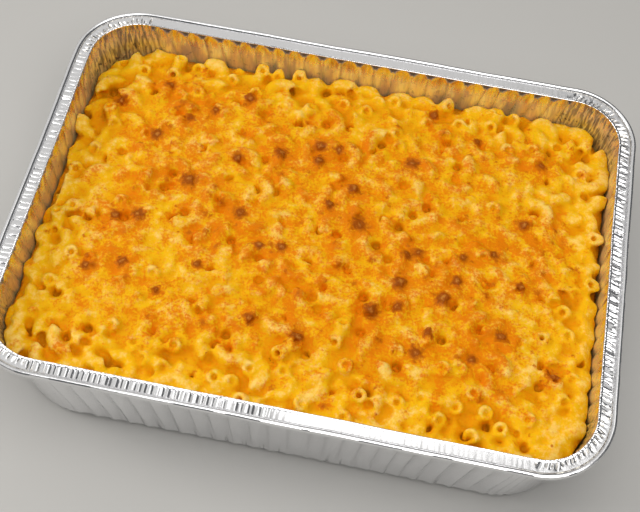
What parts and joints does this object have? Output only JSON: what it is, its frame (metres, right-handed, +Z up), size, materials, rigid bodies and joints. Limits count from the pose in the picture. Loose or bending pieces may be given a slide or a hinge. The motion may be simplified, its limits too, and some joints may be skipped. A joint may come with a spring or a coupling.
{
  "type": "baked macaroni and cheese in a foil tray",
  "caption": "Oven-baked elbow macaroni in a browned cheese crust, filling a rectangular foil tray with a fluted wall, flat crimped flange and rolled edge.",
  "frame": {"origin": "middle of the tray's flat base, on the surface that it stands on", "axes": "+X along the tray's long side, +Y towards its back long side, +Z up"},
  "size_m": [0.332, 0.245, 0.0699],
  "materials": {
    "foil": "bright pressed foil, lightly dented, with crimps across the flange",
    "baked_cheese": "moist melted cheese over pasta, golden yellow with browned orange patches and small dark toasted spots"
  },
  "bodies": {
    "root": {"foil_tray": "foil", "macaroni_and_cheese": "baked_cheese"}
  },
  "joints": []
}
